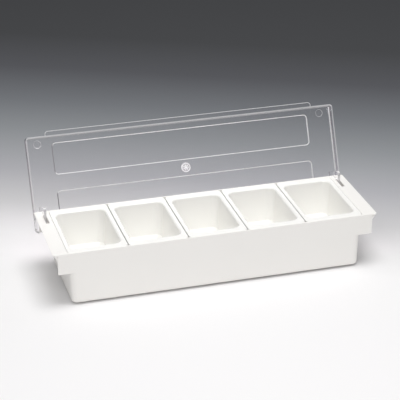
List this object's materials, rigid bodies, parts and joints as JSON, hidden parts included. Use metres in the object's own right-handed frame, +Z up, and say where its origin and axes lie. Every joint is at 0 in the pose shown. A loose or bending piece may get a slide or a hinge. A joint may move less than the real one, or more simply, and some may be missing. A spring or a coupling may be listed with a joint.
{
  "type": "condiment caddy",
  "caption": "Long white caddy for bar garnishes: drafted tub with end grips, a row of lift-out inserts, and one clear tray-shaped lid on hooked arms, shown open.",
  "frame": {"origin": "On the counter, under the middle of the tub's footprint.", "axes": "X runs left to right along the tub, Y from the front to the hinge side, Z up. The lid is open at rest."},
  "size_m": [0.4994, 0.2145, 0.1901],
  "materials": {
    "tub": "white moulded plastic, satin gloss",
    "insert": "white moulded plastic, satin gloss",
    "lid": "clear moulded plastic, polished",
    "disc": "plain pale disc, semi-gloss",
    "foot": "grey rubber, matte"
  },
  "bodies": {
    "caddy": {"tub": "tub", "foot_front_left": "foot", "foot_front_right": "foot", "foot_back_left": "foot", "foot_back_right": "foot"},
    "lid": {"lid": "lid", "lid_disc": "disc"},
    "insert_1": {"insert_1": "insert"},
    "insert_2": {"insert_2": "insert"},
    "insert_3": {"insert_3": "insert"},
    "insert_4": {"insert_4": "insert"},
    "insert_5": {"insert_5": "insert"}
  },
  "joints": [
    {"name": "lid_hinge", "type": "hinge", "parent": "caddy", "child": "lid", "pos_m": [0, 0.0588, 0.0736], "axis": [-1, 0, 0], "range_deg": [-114.2, 0]},
    {"name": "insert_1_lift", "type": "slide", "parent": "caddy", "child": "insert_1", "axis": [0, 0, 1], "range_m": [0, 0.075]},
    {"name": "insert_2_lift", "type": "slide", "parent": "caddy", "child": "insert_2", "axis": [0, 0, 1], "range_m": [0, 0.075]},
    {"name": "insert_3_lift", "type": "slide", "parent": "caddy", "child": "insert_3", "axis": [0, 0, 1], "range_m": [0, 0.075]},
    {"name": "insert_4_lift", "type": "slide", "parent": "caddy", "child": "insert_4", "axis": [0, 0, 1], "range_m": [0, 0.075]},
    {"name": "insert_5_lift", "type": "slide", "parent": "caddy", "child": "insert_5", "axis": [0, 0, 1], "range_m": [0, 0.075]}
  ]
}
